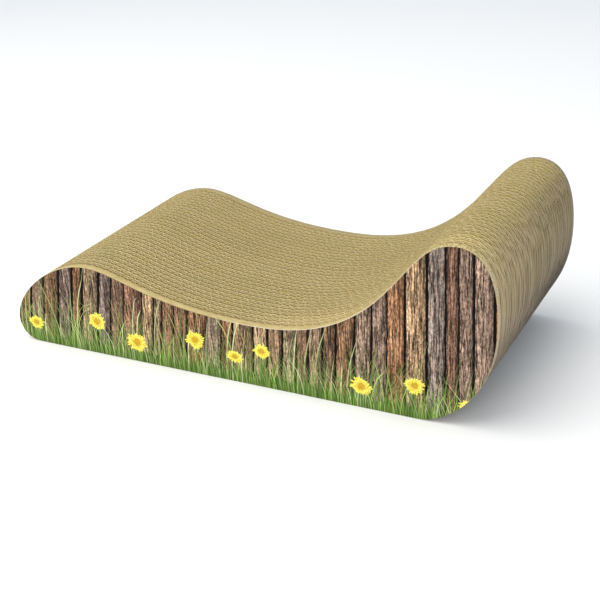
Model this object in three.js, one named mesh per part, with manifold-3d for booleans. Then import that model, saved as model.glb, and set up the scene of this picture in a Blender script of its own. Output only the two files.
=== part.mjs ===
import * as THREE from 'three';
import { mergeVertices } from 'three/addons/utils/BufferGeometryUtils.js';
import Module from 'manifold-3d';

// Cat scratcher lounger: a wave-shaped block of die-cut corrugated boards, glued side by side across
// its width, with a printed paper sheet on each outer face. Millimetres. +X runs along the lounger
// towards the backrest, +Z is up, the front face looks along -Y, and the origin lies on the floor in
// the middle of the footprint.

// Outline that every board is cut to, seen from the front
const loungerLength = 480;
const noseHeight = 21.2; // the point of the nose that reaches furthest forward
const humpFromNose = 86.8;
const humpHeight = 87.5;
const seatFromNose = 259; // the lowest point of the dip that the cat lies in
const seatHeight = 59.1;
const crestFromBack = 35.2;
const crestHeight = 159.6;
const bulgeHeight = 96.9; // the point of the backrest that reaches furthest back
const heelFromBack = 66.4; // where the flat base ends and the outline turns up
const toeFromNose = 24.4;

// Curves between those points: how far each keeps the direction of its two ends, as a share of its own
// span, and the straight steps that it is cut in
const toeToNose = { start: 0.61, end: 0.61, steps: 5 };
const noseToHump = { start: 0.44, end: 0.455, steps: 8 };
const humpToSeat = { start: 0.2, end: 0.605, steps: 6 };
const seatToCrest = { start: 0.73, end: 0.27, steps: 12 };
const crestToBulge = { start: 0.845, end: 0.43, steps: 8 };
const bulgeToHeel = { start: 0.76, end: 0.25, steps: 8 };

// Boards across the width
const coreBoards = 33;
const sideBoards = 2;
const boardThickness = 6.35; // double-wall board, a tall flute and a low flute
const glueLine = 0.1;

// Flutes of the tall layer, which run straight down through a board
const flutePitch = 7.8;
const fluteDepth = 3.6;
const flutePhaseStep = 0.618; // shift of the flutes from one fluted board to the next, in pitches

// Printed paper on the two outer faces
const sheetThickness = 0.3;
const sheetInset = 0.3; // the sheet is trimmed this much inside the board's edge

// Vertices nearer than this are one vertex
const mergeDistance = 1e-4;

const wasm = await Module();
wasm.setup();

const scratchBoard = new THREE.MeshStandardMaterial({ color: 0xb0a070, roughness: 0.95, metalness: 0 });
const paleBoard = new THREE.MeshStandardMaterial({ color: 0xc8b583, roughness: 0.9, metalness: 0 });
const printedPaper = new THREE.MeshStandardMaterial({ color: 0x6e5a46, roughness: 0.6, metalness: 0 });

// Points of a curve whose ends run level or upright, after its first: each end's handle reaches a share
// of the span towards the other end, along the end's own direction.
function curvePoints(from, to, { start, end, steps }) {
  const span = new THREE.Vector2().subVectors(to.point, from.point);
  const startHandle = span.clone().multiply(from.direction).multiplyScalar(start).add(from.point);
  const endHandle = span.clone().multiply(to.direction).multiplyScalar(-end).add(to.point);
  const curve = new THREE.CubicBezierCurve(from.point, startHandle, endHandle, to.point);
  return curve.getPoints(steps).slice(1);
}

// Die-cut outline of a board, clockwise from the toe: nose, hump, seat, crest, back and heel
function boardOutline() {
  const level = new THREE.Vector2(1, 0);
  const upright = new THREE.Vector2(0, 1);
  const anchor = (x, z, direction) => ({ point: new THREE.Vector2(x, z), direction });
  const front = -loungerLength / 2;
  const back = loungerLength / 2;

  const toe = anchor(front + toeFromNose, 0, level);
  const nose = anchor(front, noseHeight, upright);
  const hump = anchor(front + humpFromNose, humpHeight, level);
  const seat = anchor(front + seatFromNose, seatHeight, level);
  const crest = anchor(back - crestFromBack, crestHeight, level);
  const bulge = anchor(back, bulgeHeight, upright);
  const heel = anchor(back - heelFromBack, 0, level);

  return [
    toe.point,
    ...curvePoints(toe, nose, toeToNose),
    ...curvePoints(nose, hump, noseToHump),
    ...curvePoints(hump, seat, humpToSeat),
    ...curvePoints(seat, crest, seatToCrest),
    ...curvePoints(crest, bulge, crestToBulge),
    ...curvePoints(bulge, heel, bulgeToHeel),
  ];
}

// A plate of the given outline, standing upright with its front face at y = 0
function uprightPlate(outline, thickness) {
  const shape = new THREE.Shape(outline);
  const plate = new THREE.ExtrudeGeometry(shape, { depth: thickness, bevelEnabled: false });
  plate.rotateX(Math.PI / 2);
  plate.translate(0, thickness, 0);
  return plate;
}

function toSolid(geometry) {
  geometry.deleteAttribute('normal');
  geometry.deleteAttribute('uv');
  const merged = mergeVertices(geometry, mergeDistance);
  return new wasm.Manifold(new wasm.Mesh({
    numProp: 3,
    vertProperties: merged.attributes.position.array,
    triVerts: new Uint32Array(merged.index.array),
  }));
}

function toGeometry(solid) {
  const { vertProperties, triVerts } = solid.getMesh();
  const geometry = new THREE.BufferGeometry();
  geometry.setAttribute('position', new THREE.BufferAttribute(vertProperties, 3));
  geometry.setIndex(new THREE.BufferAttribute(triVerts, 1));
  geometry.computeVertexNormals();
  return geometry;
}

// The block that a fluted board is cut from: its front is folded into upright flutes, which meet the
// plain face of the next board along their crests and leave a row of open channels between them.
function flutedBlock(phase) {
  const plan = new THREE.Shape();
  const end = loungerLength / 2 + flutePitch;
  const first = -end - phase * flutePitch;
  const pitches = Math.ceil((end - first) / flutePitch);
  plan.moveTo(first, boardThickness);
  for (let i = 0; i < pitches; i += 1) {
    plan.lineTo(first + i * flutePitch, 0);
    plan.lineTo(first + (i + 0.5) * flutePitch, fluteDepth);
  }
  plan.lineTo(first + pitches * flutePitch, 0);
  plan.lineTo(first + pitches * flutePitch, boardThickness);
  return new THREE.ExtrudeGeometry(plan, { depth: crestHeight, bevelEnabled: false });
}

function flutedBoard(outline, phase) {
  const board = toSolid(uprightPlate(outline, boardThickness));
  return toGeometry(board.intersect(toSolid(flutedBlock(phase))));
}

// The board's outline drawn in by the sheet's inset, square to the edge at every point
function sheetOutline(outline) {
  return outline.map((point, i) => {
    const before = outline[(i + outline.length - 1) % outline.length];
    const after = outline[(i + 1) % outline.length];
    const along = new THREE.Vector2().subVectors(after, before).normalize();
    return new THREE.Vector2(point.x + along.y * sheetInset, point.y - along.x * sheetInset);
  });
}

function addPiece(group, name, geometry, material, y) {
  const mesh = new THREE.Mesh(geometry, material);
  mesh.name = name;
  mesh.position.y = y;
  group.add(mesh);
}

const lounger = new THREE.Group();
const outline = boardOutline();
const boardPitch = boardThickness + glueLine;
const boards = coreBoards + sideBoards;
const blockWidth = boards * boardPitch - glueLine;
const firstFace = -blockWidth / 2;
const lastBoard = firstFace + (boards - 1) * boardPitch;

// Side boards: plain boards whose cut edges show as a pale band along both edges of the seat
addPiece(lounger, 'front_side_board', uprightPlate(outline, boardThickness), paleBoard, firstFace);
addPiece(lounger, 'back_side_board', uprightPlate(outline, boardThickness), paleBoard, lastBoard);

// Core boards: every second one has its flutes open along its front face
for (let i = 1; i <= coreBoards; i += 1) {
  const name = `core_board_${String(i).padStart(2, '0')}`;
  const fluted = i % 2 === 0;
  const geometry = fluted
    ? flutedBoard(outline, (i * flutePhaseStep) % 1)
    : uprightPlate(outline, boardThickness);
  addPiece(lounger, name, geometry, scratchBoard, firstFace + i * boardPitch);
}

// Printed sheets, glued to the outer faces of the side boards
const sheet = sheetOutline(outline);
const frontSheetFace = firstFace - glueLine - sheetThickness;
const backSheetFace = firstFace + blockWidth + glueLine;
addPiece(lounger, 'front_print_sheet', uprightPlate(sheet, sheetThickness), printedPaper, frontSheetFace);
addPiece(lounger, 'back_print_sheet', uprightPlate(sheet, sheetThickness), printedPaper, backSheetFace);

export default lounger;
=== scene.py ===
import math
import random
from collections import Counter

import bpy
from mathutils import Matrix, Vector


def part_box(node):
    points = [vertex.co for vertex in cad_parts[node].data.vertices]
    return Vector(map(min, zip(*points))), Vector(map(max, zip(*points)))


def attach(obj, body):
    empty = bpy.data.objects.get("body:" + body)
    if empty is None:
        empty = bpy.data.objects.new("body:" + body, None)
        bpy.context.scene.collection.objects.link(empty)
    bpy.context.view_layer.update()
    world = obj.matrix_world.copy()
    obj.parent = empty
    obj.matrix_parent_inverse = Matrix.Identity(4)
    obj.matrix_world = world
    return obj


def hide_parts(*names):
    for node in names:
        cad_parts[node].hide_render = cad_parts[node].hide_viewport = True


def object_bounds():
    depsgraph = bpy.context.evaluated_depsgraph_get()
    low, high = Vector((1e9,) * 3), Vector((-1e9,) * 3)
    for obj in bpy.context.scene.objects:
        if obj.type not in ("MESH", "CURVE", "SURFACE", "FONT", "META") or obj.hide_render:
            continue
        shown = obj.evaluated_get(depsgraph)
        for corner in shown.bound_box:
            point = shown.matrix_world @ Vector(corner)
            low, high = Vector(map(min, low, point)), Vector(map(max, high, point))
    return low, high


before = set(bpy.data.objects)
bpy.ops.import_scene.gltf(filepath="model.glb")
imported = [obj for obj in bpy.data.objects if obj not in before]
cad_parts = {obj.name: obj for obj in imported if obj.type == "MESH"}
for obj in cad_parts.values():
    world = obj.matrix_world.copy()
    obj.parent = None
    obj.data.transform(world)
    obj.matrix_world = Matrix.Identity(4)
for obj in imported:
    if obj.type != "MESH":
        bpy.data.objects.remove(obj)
cad_low, cad_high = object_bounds()


# Camera
# It stands off the backrest's end of the front face, above the lounger, and looks down along it
# towards the nose, at the photograph's angle.
camera_place = (0.4785, -0.8882, 0.5043)
camera_heading = math.radians(27.855)
camera_dip = math.radians(25.189)
camera_tilt = math.radians(-3.069)
camera_lens, camera_sensor = 69.63, 36  # millimetres
camera_nearest = 0.01

camera = bpy.data.objects.new("camera", bpy.data.cameras.new("camera"))
bpy.context.scene.collection.objects.link(camera)
camera.location = camera_place
camera.rotation_euler = (
    Matrix.Rotation(camera_heading, 3, "Z")
    @ Matrix.Rotation(math.pi / 2 - camera_dip, 3, "X")
    @ Matrix.Rotation(camera_tilt, 3, "Z")
).to_euler()
camera.data.sensor_fit = "HORIZONTAL"
camera.data.sensor_width = camera_sensor
camera.data.lens = camera_lens
camera.data.clip_start = camera_nearest
bpy.context.scene.camera = camera


# Cutting die
# Every board is cut with one steel-rule die, so they share one outline: a low nose, a hump, the dip
# of the seat, the tall crest, a bulging back and a flat base. Anchors are joined by smooth curves.
side_low, side_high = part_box("front_side_board")
nose_x, back_x, crest_height = side_low.x, side_high.x, side_high.z
nose_height = 0.0212
die_anchors = {
    "toe": (nose_x + 0.0244, 0),
    "nose": (nose_x, nose_height),
    "hump": (nose_x + 0.0868, 0.0875),
    "seat": (nose_x + 0.259, 0.0591),
    "crest": (back_x - 0.0352, crest_height),
    "bulge": (back_x, 0.0969),
    "heel": (back_x - 0.0664, 0),
}
upright_anchors = ("nose", "bulge")  # the outline runs level at the others
die_curves = {  # how far each curve keeps the direction of its two ends, as a share of its span
    ("toe", "nose"): (0.61, 0.61),
    ("nose", "hump"): (0.44, 0.455),
    ("hump", "seat"): (0.2, 0.605),
    ("seat", "crest"): (0.73, 0.27),
    ("crest", "bulge"): (0.845, 0.43),
    ("bulge", "heel"): (0.76, 0.25),
    ("heel", "toe"): (0.33, 0.33),
}
die_steps = 22  # in each curve


def die_handle(start, end, share):
    """Where the curve from start to end first heads for."""
    (x, z), (end_x, end_z) = die_anchors[start], die_anchors[end]
    if start in upright_anchors:
        return (x, 0, z + (end_z - z) * share)
    return (x + (end_x - x) * share, 0, z)


def die_face(name, y):
    """The die's outline as one face that stands at y, selected in edit mode."""
    bpy.ops.object.select_all(action="DESELECT")
    bpy.ops.curve.primitive_bezier_curve_add(location=(0, 0, 0))
    curve = bpy.context.object
    curve.data.resolution_u = die_steps
    spline = curve.data.splines[0]
    spline.bezier_points.add(len(die_anchors) - len(spline.bezier_points))
    spline.use_cyclic_u = True
    handles = {}
    for (start, end), (share_out, share_in) in die_curves.items():
        handles[start, "out"] = die_handle(start, end, share_out)
        handles[end, "in"] = die_handle(end, start, share_in)
    for point, (anchor, (x, z)) in zip(spline.bezier_points, die_anchors.items()):
        point.handle_left_type = point.handle_right_type = "FREE"
        point.co = (x, 0, z)
        point.handle_left, point.handle_right = handles[anchor, "in"], handles[anchor, "out"]
    bpy.ops.object.convert(target="MESH")
    face = bpy.context.object
    face.name = face.data.name = name
    bpy.ops.object.mode_set(mode="EDIT")
    bpy.ops.mesh.select_all(action="SELECT")
    bpy.ops.mesh.edge_face_add()
    bpy.ops.transform.translate(value=(0, y, 0))
    return face


def die_plate(name, y_low, y_high, inset=0):
    """A plate of the die's outline between two depths, drawn in from the edge by inset."""
    plate = die_face(name, y_low)
    if inset:
        bpy.ops.mesh.inset(thickness=inset)
        bpy.ops.mesh.select_mode(type="FACE")
        bpy.ops.mesh.select_all(action="INVERT")
        bpy.ops.mesh.delete(type="FACE")
        bpy.ops.mesh.select_all(action="SELECT")
    bpy.ops.mesh.extrude_region_move(TRANSFORM_OT_translate={"value": (0, y_high - y_low, 0)})
    bpy.ops.mesh.select_all(action="SELECT")
    bpy.ops.mesh.normals_make_consistent(inside=False)
    bpy.ops.object.mode_set(mode="OBJECT")
    return plate


# Corrugated stock
# Double-wall board of brown kraft paper: three flat liners with two fluted layers glued between
# them, a tall one behind the front liner and a low one behind the middle one. Flutes stand upright.
board_thickness = side_high.y - side_low.y
board_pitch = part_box("core_board_02")[0].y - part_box("core_board_01")[0].y
liner_thickness = 0.0004
flute_paper = 0.00036
glue_overlap = 0.00003  # how far the tops of the flutes sink into the liners
tall_pitch, low_pitch = 0.0078, 0.0064
tall_share = 0.6  # of the room for flutes
flute_steps = 8
spare_flutes = 3
stock_margin = 0.004  # how far the stock and the die reach past the boards
merge_distance = 1e-5
kraft_roughness = 0.95
face_tints = ("9b8755", "c3aa70")  # dark and light, of the paper's faces
edge_tints = ("bfa872", "e0cd9b")  # and of its cut edges
board_share, blotch_share, speck_share, fibre_share = 0.2, 0.5, 0.65, 0.35  # in its lightness
lightness_cut = 0.38
hue_tint, hue_share = "b4a04c", 0.3
stain_tint, stain_share = "99945c", 0.25
front_painted_light = 0.18  # painted light: how much lighter the front boards are over the seat
paper_relief = 0.0001
# Painted shade behind the crest: a grey for its cool shade, painted light towards the front,
# painted shade low down and all over.
shade_grey_tint = "877c7b"
shade_grey_line = (0.135, 0.17)  # where the painted grey starts and is full, along the lounger at floor height
shade_grey_slant = 0.5  # how much further back that is for each metre up
shade_grey_share, shade_grey_more = 0.36, 0.3  # at the crest, and what the low part has on top
shade_grey_fall = (0.13, 0.06)  # heights between which the painted grey grows
back_painted_light, back_light_reach = 0.3, (0.08, -0.08)  # painted light towards the front, and from where to where
back_painted_shade, back_shade_fall = 0.45, (0.09, 0.05)  # painted shade low down, and between which heights
back_shade_all_over = 0.08  # painted shade all over


class Tone:
    """An output of one of a finish's nodes, so that sums can be written with it."""

    def __init__(self, finish, socket):
        self.finish, self.socket = finish, socket

    def beside(self, output):
        """Another output of the same node."""
        return Tone(self.finish, self.socket.node.outputs[output])

    def __add__(self, other):
        return self.finish.sum("ADD", self, other)

    def __sub__(self, other):
        return self.finish.sum("SUBTRACT", self, other)

    def __rsub__(self, other):
        return self.finish.sum("SUBTRACT", other, self)

    def __mul__(self, other):
        return self.finish.sum("MULTIPLY", self, other)

    def __truediv__(self, other):
        return self.finish.sum("DIVIDE", self, other)

    def __pow__(self, other):
        return self.finish.sum("POWER", self, other)

    def __abs__(self):
        return self.finish.sum("ABSOLUTE", self)

    __radd__ = __add__
    __rmul__ = __mul__


class Finish:
    """A material whose nodes are added one call at a time."""

    def __init__(self, name, roughness):
        self.material = bpy.data.materials.new(name)
        self.material.use_nodes = True
        self.tree = self.material.node_tree
        self.shader = self.tree.nodes["Principled BSDF"]
        self.shader.inputs["Roughness"].default_value = roughness

    def feed(self, socket, value):
        if isinstance(value, Tone):
            self.tree.links.new(value.socket, socket)
        else:
            socket.default_value = value

    def tinted(self, tint):
        self.feed(self.shader.inputs["Base Color"], tint)
        return self.material

    def node(self, kind, output, settings, sockets):
        """Adds a node: its settings first, then the values or links of its sockets."""
        node = self.tree.nodes.new(kind)
        for setting, value in settings.items():
            if setting == "stops":
                ramp = node.color_ramp
                for _ in value[len(ramp.elements):]:
                    ramp.elements.new(1)
                for element, (position, tint) in zip(ramp.elements, value):
                    element.position, element.color = position, colour(tint)
            else:
                setattr(node, setting, value)
        for socket, value in sockets.items():
            self.feed(node.inputs[socket], value)
        return Tone(self, node.outputs[output])

    def sum(self, operation, *terms, held=False):
        """One step of arithmetic, and held keeps its result between 0 and 1."""
        settings = {"operation": operation, "use_clamp": held}
        return self.node("ShaderNodeMath", 0, settings, dict(enumerate(terms)))

    def place(self):
        """The point's place on the whole lounger, in metres."""
        return self.node("ShaderNodeTexCoord", "Object", {}, {})

    def parts(self, kind, value):
        """The three numbers in a place (kind XYZ) or in a colour (kind Color)."""
        first = self.node("ShaderNodeSeparate" + kind, 0, {}, {0: value})
        return first, first.beside(1), first.beside(2)

    def vector(self, x, y, z):
        return self.node("ShaderNodeCombineXYZ", 0, {}, {0: x, 1: y, 2: z})

    def stretched(self, place, x, y, z):
        settings = {"operation": "MULTIPLY"}
        return self.node("ShaderNodeVectorMath", 0, settings, {0: place, 1: (x, y, z)})

    def noise(self, place, scale, detail=2, roughness=0.5):
        sockets = {"Vector": place, "Scale": scale, "Detail": detail, "Roughness": roughness}
        return self.node("ShaderNodeTexNoise", "Fac", {}, sockets)

    def random(self, number, output="Value"):
        """A number from 0 to 1, or a Color, that is the same wherever number is."""
        settings = {"noise_dimensions": "1D"}
        return self.node("ShaderNodeTexWhiteNoise", output, settings, {"W": number})

    def eased(self, value, start, end):
        """0 at start and before it, 1 at end and after it, and smooth between them."""
        sockets = {"Value": value, "From Min": start, "From Max": end}
        return self.node("ShaderNodeMapRange", 0, {"interpolation_type": "SMOOTHSTEP"}, sockets)

    def mixed(self, share, under, over, blend="MIX"):
        """Colour under with a share of colour over."""
        settings = {"data_type": "RGBA", "blend_type": blend}
        tints = [colour(t) if isinstance(t, str) else t for t in (under, over)]
        return self.node("ShaderNodeMix", 2, settings, {0: share, 6: tints[0], 7: tints[1]})

    def shaded(self, tint, light):
        """A colour made lighter or darker by a number."""
        return self.mixed(1, tint, self.vector(light, light, light), "MULTIPLY")

    def bump(self, height, distance, strength):
        sockets = {"Height": height, "Distance": distance, "Strength": strength}
        self.feed(self.shader.inputs["Normal"], self.node("ShaderNodeBump", 0, {}, sockets))


def colour(code):
    """Blender's colour for a red, green and blue written as six hex digits."""
    shares = [int(code[i : i + 2], 16) / 255 for i in (0, 2, 4)]
    return [s / 12.92 if s <= 0.04045 else ((s + 0.055) / 1.055) ** 2.4 for s in shares] + [1]


def painted_back_shade(finish, tint, x, y, z, shade_grey):
    """The tint behind the crest with painted shade: greyed for its cool shade, painted light in
    front, painted shade low down.
    """
    behind = finish.eased(x - z * shade_grey_slant, *shade_grey_line)
    share = finish.eased(z, *shade_grey_fall) * shade_grey_more + shade_grey_share
    tint = finish.mixed(behind * share, tint, shade_grey)
    painted_light = finish.eased(y, *back_light_reach) * back_painted_light
    painted_shade = finish.eased(z, *back_shade_fall) * back_painted_shade + back_shade_all_over
    return finish.shaded(tint, behind * (painted_light - painted_shade) + 1)


def kraft(name, dark, light):
    """Kraft paper: each board has a tint of its own, under blotches, fibres and specks."""
    finish = Finish(name, kraft_roughness)
    place = finish.place()
    x, y, z = finish.parts("XYZ", place)
    board_tint = finish.random(finish.sum("FLOOR", (y - side_low.y) / board_pitch))
    blotches = finish.noise(place, 14, 3)
    specks = finish.noise(place, 420, 2, 0.7)
    fibres = finish.noise(finish.stretched(place, 900, 900, 160), 1, 2, 0.7)
    lightness = board_tint * board_share + blotches * blotch_share
    lightness = lightness + specks * speck_share + fibres * fibre_share
    lightness = finish.sum("SUBTRACT", lightness, lightness_cut, held=True)
    tint = finish.mixed(lightness, dark, light)
    hue = finish.eased(finish.noise(place, 130, 2, 0.6), 0.42, 0.7)
    tint = finish.mixed(hue * hue_share, tint, hue_tint)
    stains = finish.eased(finish.noise(place, 28, 2, 0.6), 0.5, 0.75)
    tint = finish.mixed(stains * stain_share, tint, stain_tint)
    # Painted light: the front boards over the seat are made lighter.
    front_light_mask = finish.eased(y, -0.07, -0.1) * finish.eased(x, 0, 0.06)
    tint = finish.shaded(tint, front_light_mask * front_painted_light + 1)
    finish.bump(fibres + specks, paper_relief, 0.5)
    # Behind the crest, painted shade and painted light go on top.
    return finish.tinted(painted_back_shade(finish, tint, x, y, z, shade_grey_tint))


def pick(kind, test):
    """Selects the active object's vertices or polygons that pass the test, in edit mode."""
    bpy.ops.object.mode_set(mode="EDIT")
    bpy.ops.mesh.select_mode(type={"vertices": "VERT", "polygons": "FACE"}[kind])
    bpy.ops.mesh.select_all(action="DESELECT")
    bpy.ops.object.mode_set(mode="OBJECT")
    for part in getattr(bpy.context.object.data, kind):
        part.select = test(part)
    bpy.ops.object.mode_set(mode="EDIT")


def flute_layer(name, pitch, room, y):
    """One flute's wave, repeated along the stock and given the thickness of its paper."""
    height = crest_height + 2 * stock_margin
    bpy.ops.object.select_all(action="DESELECT")
    bpy.ops.mesh.primitive_grid_add(
        x_subdivisions=flute_steps, y_subdivisions=1, size=1,
        location=(0, 0, 0), rotation=(0, 0, 0),
    )
    layer = bpy.context.object
    layer.name = layer.data.name = name
    swing = (room - flute_paper) / 2 + glue_overlap
    for step in range(flute_steps + 1):
        along = step / flute_steps - 0.5
        pick("vertices", lambda point: abs(point.co.x - along) < merge_distance)
        bpy.ops.transform.translate(value=(0, 0, swing * math.sin(2 * math.pi * along)))
    bpy.ops.mesh.select_all(action="SELECT")
    bpy.ops.transform.resize(value=(pitch, height, 1), center_override=(0, 0, 0))
    bpy.ops.transform.rotate(value=math.pi / 2, orient_axis="X", center_override=(0, 0, 0))
    first = nose_x - spare_flutes / 2 * pitch
    bpy.ops.transform.translate(value=(first, y, crest_height / 2))
    bpy.ops.object.mode_set(mode="OBJECT")
    flutes = layer.modifiers.new("flutes", "ARRAY")
    flutes.use_relative_offset = False
    flutes.use_constant_offset = True
    flutes.constant_offset_displace = (pitch, 0, 0)
    flutes.count = math.ceil((back_x - nose_x) / pitch) + spare_flutes
    flutes.use_merge_vertices = True
    flutes.merge_threshold = merge_distance
    bpy.ops.object.modifier_apply(modifier="flutes")
    paper = layer.modifiers.new("paper", "SOLIDIFY")
    paper.thickness = flute_paper
    paper.offset = 0
    bpy.ops.object.modifier_apply(modifier="paper")
    return layer


flute_room = board_thickness - 3 * liner_thickness
tall_room, low_room = flute_room * tall_share, flute_room * (1 - tall_share)
middle_liner = liner_thickness + tall_room
tall_middle = (liner_thickness + middle_liner) / 2
low_middle = (middle_liner + board_thickness) / 2
tall_flutes = flute_layer("tall_flutes", tall_pitch, tall_room, tall_middle)
low_flutes = flute_layer("low_flutes", low_pitch, low_room, low_middle)
paper_face = kraft("paper_face", *face_tints)
cut_edge = kraft("cut_edge", *edge_tints)


# Core boards
# Thirty-three die-cut pieces of that stock, glued face to face. The sheets go through the die as
# they come, so the flutes of one board stand anywhere beside those of the next.
flute_drift = {"X": 0.0005, "Y": 0.0001}
flute_drift_size = 0.018
core_names = sorted(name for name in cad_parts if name.startswith("core_board_"))
draw = random.Random(11)

drift = bpy.data.textures.new("flute_drift", "CLOUDS")
drift.noise_scale = flute_drift_size
die = die_plate("die", cad_low.y - stock_margin, cad_high.y + stock_margin)


def die_cut(stock, shift, y):
    """What the die cuts out of a fluted layer that is moved along by shift and back by y."""
    piece = stock.copy()
    piece.data = stock.data.copy()
    bpy.context.scene.collection.objects.link(piece)
    bpy.ops.object.select_all(action="DESELECT")
    piece.select_set(True)
    bpy.context.view_layer.objects.active = piece
    piece.data.transform(Matrix.Translation((shift, y, 0)))
    for direction, strength in flute_drift.items():
        wander = piece.modifiers.new("wander", "DISPLACE")
        wander.texture = drift
        wander.direction = direction
        wander.strength = strength
        bpy.ops.object.modifier_apply(modifier="wander")
    cut = piece.modifiers.new("cut", "BOOLEAN")
    cut.operation = "INTERSECT"
    cut.solver = "MANIFOLD"
    cut.object = die
    bpy.ops.object.modifier_apply(modifier="cut")
    return piece


def drop_spare_points(board):
    """Takes out the points that the cut leaves partway along an edge of two faces."""
    ends = Counter(index for edge in board.data.edges for index in edge.vertices)
    pick("vertices", lambda point: ends[point.index] == 2)
    bpy.ops.mesh.dissolve_verts()
    bpy.ops.object.mode_set(mode="OBJECT")


for name in core_names:
    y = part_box(name)[0].y
    layers = [
        die_cut(tall_flutes, draw.uniform(0, tall_pitch), y),
        die_cut(low_flutes, draw.uniform(0, low_pitch), y),
    ]
    for liner in (0, middle_liner, board_thickness - liner_thickness):
        layers.append(die_plate("liner", y + liner, y + liner + liner_thickness))
    bpy.ops.object.select_all(action="DESELECT")
    for layer in layers:
        layer.select_set(True)
    bpy.context.view_layer.objects.active = layers[0]
    bpy.ops.object.join()
    board = bpy.context.object
    drop_spare_points(board)
    board.name = board.data.name = name.replace("core", "fluted")
    board.data.materials.clear()
    for material in (paper_face, cut_edge):
        board.data.materials.append(material)
    for face in board.data.polygons:
        cut_square = abs(face.normal.y) < 1e-3
        face.material_index = int(cut_square)
    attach(board, "root")
    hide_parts(name)

for spent in (die, tall_flutes, low_flutes):
    bpy.data.objects.remove(spent)


# Side boards
# The outermost board on each side. Its flutes run along the lounger, so it shows as a smooth pale
# band beside the seat. From the crest to the heel the die cuts across them, in short strokes.
edge_rounding = 0.0004
rounded_over = math.radians(60)  # corners sharper than this
smooth_under = math.radians(35)
edge_roughness = 0.85
edge_relief = 0.0002
strokes_line = (0.165, 0.185)  # where the strokes start and are full, along the lounger
side_tints = {
    # along the flutes dark and light, across them dark and light, and the painted grey of the
    # shaded back
    "front": ("a68f56", "c6b27c", "8f7c4c", "d0bd84", "b5a491"),
    # The back board's tints are the front's made darker: painted shade on the side away from the
    # lights.
    "back": ("8f7c50", "a8986c", "786845", "a8986c", "877c7b"),
}


def smooth_edge(name, dark, light, gap, rib, shade_grey):
    """Kraft board cut along its flutes as far as the crest, and across them from there on."""
    finish = Finish(name, edge_roughness)
    place = finish.place()
    x, y, z = finish.parts("XYZ", place)
    streaks = finish.noise(finish.stretched(place, 60, 1500, 60), 1, 3, 0.6)
    mottling = finish.noise(place, 160, 3, 0.6)
    along = finish.mixed(finish.eased(streaks * 0.6 + mottling * 0.4, 0.3, 0.7), dark, light)
    strokes = finish.noise(finish.stretched(place, 1000, 420, 1000), 1, 2, 0.6)
    across = finish.mixed(finish.eased(strokes, 0.36, 0.64), gap, rib)
    crossed = finish.eased(x, *strokes_line)
    tint = finish.mixed(crossed, along, across)
    finish.bump(streaks + (strokes - streaks) * crossed, edge_relief, 0.6)
    # Behind the crest, painted shade and painted light go on top.
    return finish.tinted(painted_back_shade(finish, tint, x, y, z, shade_grey))


for side, tints in side_tints.items():
    low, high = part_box(f"{side}_side_board")
    board = die_plate(f"{side}_edge_board", low.y, high.y)
    rounding = board.modifiers.new("rounding", "BEVEL")
    rounding.width = edge_rounding
    rounding.segments = 2
    rounding.limit_method = "ANGLE"
    rounding.angle_limit = rounded_over
    bpy.ops.object.modifier_apply(modifier="rounding")
    bpy.ops.object.shade_smooth_by_angle(angle=smooth_under)
    board.data.materials.append(smooth_edge(f"{side}_edge", *tints))
    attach(board, "root")
    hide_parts(f"{side}_side_board")


# Printed sheets
# White paper glued to the two outer faces, with a colour print of weathered slats behind leaves
# and daisies. It is trimmed just inside the board's edge, and the print stops short of the cut.
sheet_inset = 0.0003
print_margin = 0.00006
bare_middle, bare_reach, bare_width = 0.085, 0.1, 0.0003  # where the cut wandered off the print
bare_inwards = Vector((0.5, 0, -0.87))
paper_roughness, ink_roughness, ink_gloss = 0.7, 0.8, 0.1
paper_tints = ("d8cdb2", "ece3cc")
worn_margin = "8f7a58"  # of the paper's edge away from the bare strip
# The picture's sizes are in millimetres, along from the middle of the lounger and up from the floor
slat_width = 15
slat_gap = 0.9
slat_seed = 115
slats_upright, slats_fan = 200, 2400  # where they stand upright, and how slowly they fan out
slats_paler = (60, 190)  # towards the backrest
slat_tints = (
    # share of the slats up to which the tint before it blends into this one
    (0.0, "7a634e"), (0.14, "a67855"), (0.28, "867468"), (0.42, "b08e6a"),
    (0.55, "5f4e44"), (0.68, "9a6a4e"), (0.8, "7c6f68"), (0.93, "bd9c74"),
)
slat_blotch, slat_split, slat_shadow = "8d6f5c", "120c09", "080605"
ground_tints = ("14220a", "5a7c28")
leaf_rows = (
    # seed, pitch, height, lean, dark and light tint, from the rearmost row to the foremost
    (3, 5.1, 84, 16, "66733e", "c9d296"),
    (11, 4.3, 76, -24, "4c6428", "a6b66a"),
    (19, 4.6, 68, 8, "6f8440", "dde2b0"),
    (27, 3.4, 62, -12, "44661e", "a3c060"),
    (35, 3.9, 54, 26, "3f6a1c", "b4d068"),
    (43, 3.0, 48, -28, "67803a", "e6ebb4"),
    (51, 3.3, 41, 12, "3a6a1a", "92bf4c"),
    (59, 2.6, 34, -18, "5a8a30", "cfe08c"),
    (67, 2.9, 26, 6, "386018", "9ac452"),
)
leaf_bend = 34
leaf_shift = 1.37  # pitches, for each step of the seed
leaf_edge, petal_edge = 0.5, 0.6  # width over which they fade out
daisy_petals = 28
daisy_rings = (
    # reach, dark and light tint, from the outermost petals to the innermost
    (1.0, "c79d16", "f2e35c"),
    (0.82, "cda41a", "f7ea6a"),
    (0.6, "c99a18", "f3de58"),
)
daisy_rows = {
    # row of leaves that they stand before: seed, pitch, lowest, highest and size
    5: (4, 112, 28, 38, 10.5),
    7: (9.5, 112, 18, 27, 11.5),
}
stem_tint, pip_tints = "557a35", ("8f6410", "eec043")


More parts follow.
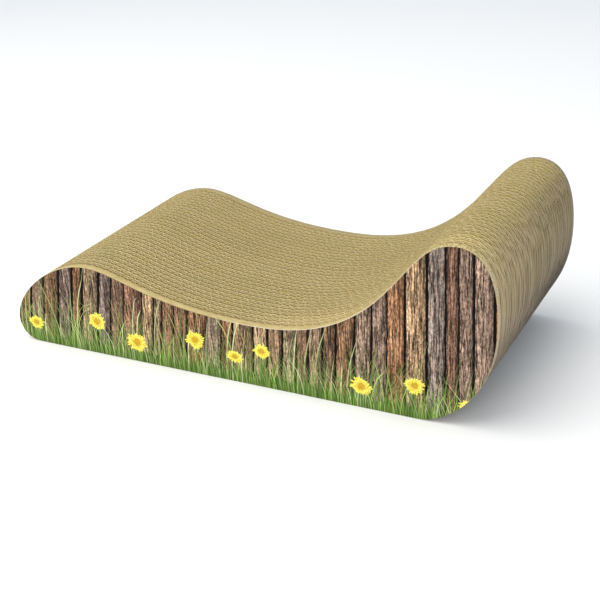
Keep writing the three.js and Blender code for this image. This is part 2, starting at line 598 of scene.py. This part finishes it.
class Print(Finish):
    """A finish that knows the point's place on the print, in millimetres."""

    def __init__(self, name, roughness):
        super().__init__(name, roughness)
        x, _, z = self.parts("XYZ", self.place())
        self.along, self.up = x * 1000, z * 1000

    def patches(self, width, height, pattern, detail=2, roughness=0.5):
        """Noise in patches of that width and height, another one for each pattern."""
        place = self.vector(self.along / width, self.up / height, pattern)
        return self.noise(place, 1, detail, roughness)


def slats(ink):
    """Upright slats of weathered wood, each of its own width and tint, with dark gaps."""
    lean = (slats_upright - ink.along) / slats_fan
    waver = (ink.patches(30, 60, 0) - 0.5) * 2
    rough = (ink.patches(3, 7, 0, 3) - 0.5) * 2
    across = (ink.along - ink.up * lean + waver + rough) / slat_width + slat_seed
    spread = {"W": across, "Scale": 1, "Randomness": 0.95}
    settings = {"voronoi_dimensions": "1D", "feature": "F1"}
    own = ink.node("ShaderNodeTexVoronoi", "Color", settings, spread)
    side = across - own.beside("W")
    red, green, blue = ink.parts("Color", own)
    settings = {"voronoi_dimensions": "1D", "feature": "DISTANCE_TO_EDGE"}
    edge = ink.node("ShaderNodeTexVoronoi", "Distance", settings, spread) * slat_width

    tint = ink.node("ShaderNodeValToRGB", "Color", {"stops": slat_tints}, {"Fac": red})
    blotch = ink.patches(7, 16, blue * 40, 3, 0.6)
    tint = ink.mixed(ink.eased(blotch, 0.45, 0.7) * 0.5, tint, slat_blotch)
    grain = ink.patches(1.5, 26, green * 50, 5, 0.8)
    bands = ink.patches(5, 50, green * 80 + 9, 3, 0.6)
    chips = ink.patches(1.4, 3.2, blue * 30, 3, 0.7)
    splits = abs(ink.patches(3.4, 70, blue * 60 + 4, 4, 0.7) - 0.5)
    split = ink.eased(splits, 0.04, 0.01) * ink.eased(bands, 0.4, 0.52)
    light = (ink.eased(grain, 0.4, 0.6) * 1.25 + 0.2) * (bands * 1.6 + 0.22)
    light = light * (ink.eased(chips, 0.36, 0.64) * 0.9 + 0.5) * (1.05 - side * 0.7)
    light = light * (ink.eased(edge, 0.2, 3.2) * 0.55 + 0.5)
    light = light * (ink.eased(ink.along, *slats_paler) * 0.2 + 0.92)
    tint = ink.mixed(split * 0.9, ink.shaded(tint, light), slat_split)
    gap = ink.eased(edge - (green * green * 1.4 + 0.5) * slat_gap, 0.35, -0.1)
    return ink.mixed(gap, tint, slat_shadow)


def leaves(ink, seed, pitch, height, lean, dark, light):
    """A row of lance-shaped leaves: how far they cover the print, and their colour."""
    sway = ink.noise(ink.vector(ink.along / 26, seed, 0), 1, 1) - 0.5
    rise = ink.up / height
    bent = (ink.along - (lean + sway * leaf_bend) * rise * rise) / pitch + seed * leaf_shift
    leaf = ink.sum("FLOOR", bent)
    side = bent - leaf - 0.5
    red, green, blue = ink.parts("Color", ink.random(leaf, "Color"))
    tall = ink.noise(ink.vector(ink.along / 24, seed + 5, 0), 1, 2) * 2.2 - 0.1
    rise = rise / (red * 0.75 + 0.25) / tall
    half = (1 - rise) ** 0.6 * (rise * 0.5 + 0.5) * (green * 0.15 + 0.18)
    cover = ink.sum("MULTIPLY", half - abs(side), pitch / leaf_edge, held=True)
    fold = 1 - ink.eased(side, -0.05, 0.08) * 0.5
    glow = (rise * 0.65 + 0.6) * fold * (green * 1.1 + 0.65)
    return cover, ink.shaded(ink.mixed(blue * blue, dark, light), glow)


def daisies(ink, seed, pitch, lowest, highest, size):
    """A row of yellow flowers on stems: how far they cover the print, and their colour."""
    shifted = ink.along / pitch + seed
    flower = ink.sum("FLOOR", shifted)
    red, green, blue = ink.parts("Color", ink.random(flower, "Color"))
    radius = size * (blue * 0.25 + 0.85)
    across = (shifted - flower - 0.5 - (red - 0.5) * 0.5) * pitch
    height = ink.up - lowest - green * (highest - lowest)
    across_share, up_share = across / radius, height / (radius * (blue * 0.25 + 0.72))
    out = ink.sum("SQRT", across_share * across_share + up_share * up_share)
    around = ink.sum("ARCTAN2", up_share, across_share) * (daisy_petals / (2 * math.pi)) + 50
    tint, cover = stem_tint, 0
    for ring, (reach, dark, light) in enumerate(daisy_rings):
        place = around + red + ring * 0.4
        petal = ink.sum("FLOOR", place)
        side = abs(place - petal - 0.5) * 2
        length = ink.random(petal + flower * 40 + ring * 9) * reach * 0.3 + reach * 0.7
        share = out / length
        front = length - side * side * 0.2 - out
        front = ink.sum("MULTIPLY", front, size / petal_edge, held=True)
        shade = ink.eased(side, 1.1, 0.2) * 0.4 + ink.eased(share, 0.2, 1) * 0.3 + 0.45
        flame = ink.shaded(ink.mixed(ink.eased(share, 0.3, 0.95), dark, light), shade)
        tint = ink.mixed(front, tint, flame)
        cover = ink.sum("MAXIMUM", cover, front)
    pips = ink.noise(ink.vector(ink.along * 1.1, ink.up * 1.1, seed), 1, 2)
    tint = ink.mixed(ink.eased(out, 0.28, 0.18), tint, ink.mixed(pips, *pip_tints))
    stem = abs(across + height * (red - 0.5) * 0.2)
    stem = ink.eased(stem, 0.9, 0.5) * ink.eased(height, 0, -1)
    return ink.sum("MAXIMUM", cover, stem), tint


def garden_print():
    """The print: slats, then rows of leaves from back to front with daisies among them."""
    ink = Print("garden_print", ink_roughness)
    ink.shader.inputs["Specular IOR Level"].default_value = ink_gloss
    thicket = ink.patches(5, 7, 3, 3)
    ground = ink.eased(ink.up + (thicket - 0.5) * 26, 15, 6)
    picture = ink.mixed(ground, slats(ink), ink.mixed(thicket, *ground_tints))
    for number, row in enumerate(leaf_rows, 1):
        plants = [leaves(ink, *row)]
        if number in daisy_rows:
            plants.append(daisies(ink, *daisy_rows[number]))
        for cover, tint in plants:
            picture = ink.mixed(cover, picture, tint)
    return ink.tinted(picture)


def white_paper():
    """The sheet's unprinted margin and cut edge."""
    finish = Finish("white_paper", paper_roughness)
    place = finish.place()
    x, _, _ = finish.parts("XYZ", place)
    tint = finish.mixed(finish.noise(place, 900, 2), *paper_tints)
    worn = finish.eased(abs(x - bare_middle), bare_reach - 0.01, bare_reach)
    return finish.tinted(finish.mixed(worn, tint, worn_margin))


sheet_materials = (white_paper(), garden_print())
for side, outwards in (("front", -1), ("back", 1)):
    low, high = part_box(f"{side}_print_sheet")
    sheet = die_plate(f"{side}_printed_paper", low.y, high.y, sheet_inset)
    for material in sheet_materials:
        sheet.data.materials.append(material)
    pick("polygons", lambda face: face.normal.y * outwards > 0.9)
    bpy.ops.mesh.inset(thickness=print_margin)
    sheet.active_material_index = 1
    bpy.ops.object.material_slot_assign()
    bpy.ops.object.mode_set(mode="OBJECT")
    for point in sheet.data.vertices:
        if point.select and point.co.z > nose_height:
            nearness = max(0, 1 - abs(point.co.x - bare_middle) / bare_reach)
            point.co += bare_inwards * bare_width * nearness**0.5
    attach(sheet, "root")
    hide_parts(f"{side}_print_sheet")


# Studio
# A pale floor that runs out of the picture, a large soft key light over the nose, a weaker one for
# the front face, and an even pale blue surround.
floor_size = 12
floor_tint = (0.9, 0.885, 0.87, 1)
floor_roughness = 0.9
surround_tint, surround_strength = (0.84, 0.92, 1, 1), 0.75
light_tint = (1, 0.975, 0.94)
lights = {
    # place, size and power
    "key_light": ((-0.65, -0.6, 2), 2.4, 45),
    "face_light": ((0.1, -2.4, 0.9), 1.2, 16),
}

bpy.ops.object.select_all(action="DESELECT")
bpy.ops.mesh.primitive_plane_add(size=floor_size, location=(0, 0, 0))
floor = bpy.context.object
floor.name = "floor"
floor.data.materials.append(Finish("studio_floor", floor_roughness).tinted(floor_tint))

surround = bpy.data.worlds.new("surround")
surround.use_nodes = True
surround.node_tree.nodes["Background"].inputs["Color"].default_value = surround_tint
surround.node_tree.nodes["Background"].inputs["Strength"].default_value = surround_strength
bpy.context.scene.world = surround

for name, (place, size, power) in lights.items():
    light = bpy.data.objects.new(name, bpy.data.lights.new(name, "AREA"))
    bpy.context.scene.collection.objects.link(light)
    light.data.size = size
    light.data.energy = power
    light.data.color = light_tint
    light.location = place
    light.rotation_euler = (-Vector(place)).to_track_quat("-Z", "Y").to_euler()
bpy.context.scene.view_settings.view_transform = "Standard"
